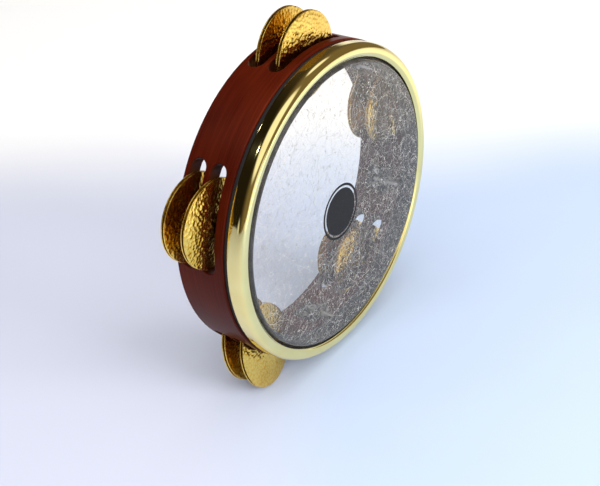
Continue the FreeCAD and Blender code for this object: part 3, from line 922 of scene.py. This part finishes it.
@dataclass
class TuningGear:
    """Five tuning screws with their nuts, brackets and wood screws inside the shell."""

    copies: int = 5
    first: float = 36.0
    screw_radius: float = 2.0 * MM
    pitch: float = 0.7 * MM
    thread_depth: float = 0.34 * MM
    socket_flats: float = 2.0 * MM
    socket_depth: float = 3.0 * MM
    pitch_circle: float = 95.4 * MM
    steps: int = 36
    rows_per_turn: int = 6
    run_out_rows: int = 5
    nut_flats: float = 7.0 * MM
    nut_chamfer: float = 0.45 * MM
    screw_play: float = 0.05 * MM
    seat: float = 97.95 * MM
    wood_shank: float = 1.4 * MM
    wood_dome: float = 1.5 * MM
    wood_length: float = 9.05 * MM
    wood_spread: float = 3.0

    def threaded_screw(self, name: str, length: float) -> Mesh:
        """A headless screw about its own axis, tail at height 0, with a real thread and a hexagon socket."""
        bm = bmesh.new()
        rows = round(length / self.pitch * self.rows_per_turn)
        rings = []
        for k in range(rows + 1):
            height = length * k / rows
            fade = min(1.0, k / self.run_out_rows, (rows - k) / self.run_out_rows)
            ring = []
            for i in range(self.steps):
                turn = 2 * math.pi * i / self.steps
                phase = (height / self.pitch - i / self.steps) % 1.0
                ridge = abs(2 * phase - 1)
                radius = self.screw_radius - self.thread_depth * (1 - ridge * fade)
                ring.append(bm.verts.new((radius * math.cos(turn), radius * math.sin(turn), height)))
            rings.append(ring)
        flat = self.socket_flats / 2
        mouth, floor = self.around(bm, flat, 0.0, True), self.around(bm, flat, self.socket_depth, True)
        self.skin(bm, [floor, mouth] + rings)
        bm.faces.new(floor)
        bm.faces.new(rings[-1])
        return closed_mesh(name, bm, 40.0)

    def skin(self, bm: BMesh, rings: list[list[BMVert]]) -> None:
        """Join each ring of points to the next with faces."""
        for ring, following in zip(rings, rings[1:]):
            for i in range(self.steps):
                j = (i + 1) % self.steps
                bm.faces.new((ring[i], ring[j], following[j], following[i]))

    def nuts(self) -> Mesh:
        """The chamfered hexagon nut at the top of the drum."""
        _, bottom, top = DRUM.ring("bracket_nuts")
        height = top - bottom
        half, bore, c = self.nut_flats / 2, self.screw_radius + self.screw_play, self.nut_chamfer
        bm = bmesh.new()
        levels = ((bore, 0.0, False), (half, 0.0, False), (half, c, True), (half, height - c, True),
                  (half, height, False), (bore, height, False))
        rings = [self.around(bm, reach, level, flats) for reach, level, flats in levels]
        self.skin(bm, rings + rings[:1])
        nut = closed_mesh("nut", bm, 30.0)
        nut.transform(Matrix.Translation((0, self.pitch_circle, bottom)) @ clockwise(-30))
        return nut

    def wood_screws(self) -> Mesh:
        """The two domed wood screws at the top of the drum, through a bracket's leg into the shell."""
        _, bottom, top = DRUM.ring("bracket_screws")
        head, shank, point = (top - bottom) / 2, self.wood_shank, self.wood_length
        turns = [math.pi / 2 * i / 8 for i in range(8)]
        dome = [(head * math.sin(t), -self.wood_dome * math.cos(t)) for t in turns]
        outline = dome + [(head, -0.05 * MM), (head, 0.0), (shank, 0.0), (shank, point - shank), (0.0, point)]
        stand = Matrix.Translation((0, self.seat, (top + bottom) / 2)) @ Matrix.Rotation(-math.pi / 2, 4, "X")
        pair = bmesh.new()
        for side in (-self.wood_spread, self.wood_spread):
            screw = lathe("wood_screw", outline, 32, 40.0)
            screw.transform(clockwise(side) @ stand)
            pair.from_mesh(screw)
        return closed_mesh("wood_screw_pair", pair, 40.0)

    def around(self, bm: BMesh, reach: float, height: float, flats: bool) -> list[BMVert]:
        """A ring of points at a height: a circle, or a hexagon whose flats are that far from the axis."""
        ring = []
        for i in range(self.steps):
            turn = 2 * math.pi * i / self.steps
            off_flat = (turn + math.pi / 6) % (math.pi / 3) - math.pi / 6
            far = reach / math.cos(off_flat) if flats else reach
            ring.append(bm.verts.new((far * math.cos(turn), far * math.sin(turn), height)))
        return ring

    def build(self, steel: Material, black: Material) -> None:
        """Thread the screws and finish the rest."""
        for number in range(1, self.copies + 1):
            node = f"tuning_screw_{number}"
            low, high = DRUM.box(node)
            middle = (low + high) / 2
            mesh = self.threaded_screw(f"threaded_{node}", high.z - low.z)
            piece(f"threaded_{node}", mesh, steel, body=node, replaces=(node,),
                  local=Matrix.Translation((middle.x, middle.y, low.z)))
            dress(f"tuning_bracket_{number}", black)
        tree = ring_tree()
        for node, part in (("bracket_nuts", self.nuts()), ("bracket_screws", self.wood_screws())):
            mesh = tree.grow(part, Copies=self.copies, Start=math.radians(self.first), Material=steel)
            piece(f"{node}_turned", mesh, steel, replaces=(node,))
        for which in CymbalSet:
            dress(f"cymbal_pin_{which.name.lower()}", steel)


# ---- studio ----
@dataclass
class Lamp:
    """One light: a rectangle of a size in metres, or a soft sun where it has a spread in degrees."""

    name: str
    place: Place
    power: float
    size: tuple[float, float] = (1.0, 1.0)
    spread: float = 0.0
    colour: Colour = (1.0, 1.0, 1.0)
    mirrored: bool = True

    def hang(self) -> None:
        """Hang the light so that it points at the drum."""
        data = bpy.data.lights.new(self.name, "SUN" if self.spread else "AREA")
        if self.spread:
            data.angle = math.radians(self.spread)
        else:
            data.shape = "RECTANGLE"
            data.size, data.size_y = self.size
        data.energy, data.color = self.power, self.colour
        light = placed(self.name, data)
        light.location = self.place
        light.rotation_euler = (DRUM.centre - Vector(self.place)).to_track_quat("-Z", "Y").to_euler()
        light.visible_glossy = self.mirrored
        light.visible_camera = bool(self.spread)


@dataclass(frozen=True)
class Glow:
    """A bright round patch of the surroundings, fully bright within one angle and gone beyond another."""

    azimuth: float
    height: float
    inner: float
    outer: float
    strength: float

    def shade(self, n: Nodes, direction: Socket) -> Socket:
        """How bright the patch is in a direction."""
        across, up = math.radians(self.azimuth), math.radians(self.height)
        middle = (math.cos(up) * math.cos(across), math.cos(up) * math.sin(across), math.sin(up))
        fades = (math.cos(math.radians(self.outer)), math.cos(math.radians(self.inner)))
        return n.remap(n.vector("DOT_PRODUCT", direction, middle), fades, (0, self.strength), True)


@dataclass
class Studio:
    """Floor, lights, surroundings and the camera."""

    azimuth: float = -52.6
    elevation: float = 31.97
    roll: float = -3.1
    lens: float = 62.52
    depth: float = 0.7028
    right_of_axis: float = 0.0202
    above_axis: float = 0.0272
    floor_size: float = 40.0
    room: Colour = (1.0, 0.74, 0.40)
    room_glow: float = 0.20
    room_dark: float = 0.015
    room_side: Place = (0.35, -0.94, 0.0)
    glows: list[Glow] = field(default_factory=lambda: [
        Glow(-135.0, 60.0, 25.0, 36.0, 1.0),
        Glow(8.0, 58.0, 7.0, 13.0, 1.0),
        Glow(-100.0, 0.0, 10.0, 20.0, 0.9),
        Glow(40.0, 0.0, 8.0, 16.0, 1.0),
        Glow(165.0, -2.0, 4.0, 12.0, 0.7),
    ])
    lights: list[Lamp] = field(default_factory=lambda: [
        Lamp("front_fill", (0.1, -1.3, 0.55), 20.0, (0.7, 0.7), mirrored=False),
        Lamp("left_lamp", (-1.1, 0.9, 1.6), 1.2, (0.10, 0.10)),
        Lamp("far_lamp", (-0.4, 1.6, 1.5), 1.2, (0.10, 0.16)),
        Lamp("soft_sky", (-0.25, -0.15, 1.0), 2.6, spread=110.0, colour=(0.95, 0.97, 1.0), mirrored=False),
    ])

    def build(self) -> None:
        """Set the whole studio up."""
        self.lay_floor()
        self.surroundings()
        for light in self.lights:
            light.hang()
        self.set_camera()
        bpy.context.scene.view_settings.view_transform = "Standard"

    def lay_floor(self) -> None:
        """A plain pale floor, far larger than the view."""
        bm = bmesh.new()
        bmesh.ops.create_grid(bm, x_segments=8, y_segments=8, size=self.floor_size / 2)
        mesh = plain_mesh("studio_floor", bm)
        mesh.materials.append(StudioSweep().build())
        floor = placed("studio_floor", mesh)

    def surroundings(self) -> None:
        """A dim warm room with a few soft bright patches."""
        world = bpy.data.worlds.new("studio_room")
        world.use_nodes = True
        bpy.context.scene.world = world
        n = Nodes(world.node_tree)
        direction = n.add("ShaderNodeTexCoord").outputs["Generated"]
        facing = n.vector("DOT_PRODUCT", direction, self.room_side)
        dim = n.remap(facing, (-0.6, 0.2), (self.room_dark, self.room_glow), True)
        bright = self.glows[0].shade(n, direction)
        for glow in self.glows[1:]:
            bright = n.math("ADD", bright, glow.shade(n, direction))
        room = n.add("ShaderNodeBackground", {"Color": (*self.room, 1.0), "Strength": dim}).outputs[0]
        patches = n.add("ShaderNodeBackground", {"Color": (1, 1, 1, 1), "Strength": bright}).outputs[0]
        both = n.add("ShaderNodeAddShader", {0: room, 1: patches}).outputs[0]
        n.add("ShaderNodeOutputWorld", {"Surface": both})

    def set_camera(self) -> None:
        """Place the camera by its angles, its lens and where the hoop's centre sits in the view."""
        turns = ((self.azimuth, "Z"), (90 - self.elevation, "X"), (self.roll, "Z"))
        heading, pitch, roll = (Matrix.Rotation(math.radians(degrees), 4, axis) for degrees, axis in turns)
        stance = heading @ pitch @ roll
        offset = stance @ Vector((self.right_of_axis, self.above_axis, -self.depth))
        data = bpy.data.cameras.new("camera")
        data.lens, data.clip_start = self.lens, 0.01
        camera = placed("camera", data)
        camera.matrix_world = Matrix.Translation(DRUM.centre - offset) @ stance
        bpy.context.scene.camera = camera


def main() -> None:
    """Build every sub-assembly in order."""
    logging.basicConfig(level=logging.INFO, format="%(name)s: %(message)s")
    brass, hammered = PolishedBrass().build(), HammeredBrass().build()
    black, rubber, steel = BlackAnodised().build(), SoftRubber().build(), PlatedSteel().build()
    dress("shell", LacqueredWood().build())
    Hoops().build(brass, black, rubber)
    Head().build(ClearFilm().build(), FibreWhite().build(), PrintedInk().build())
    Cymbals.measured().build(hammered)
    TuningGear().build(steel, black)
    Studio().build()


if __name__ == "__main__":
    main()
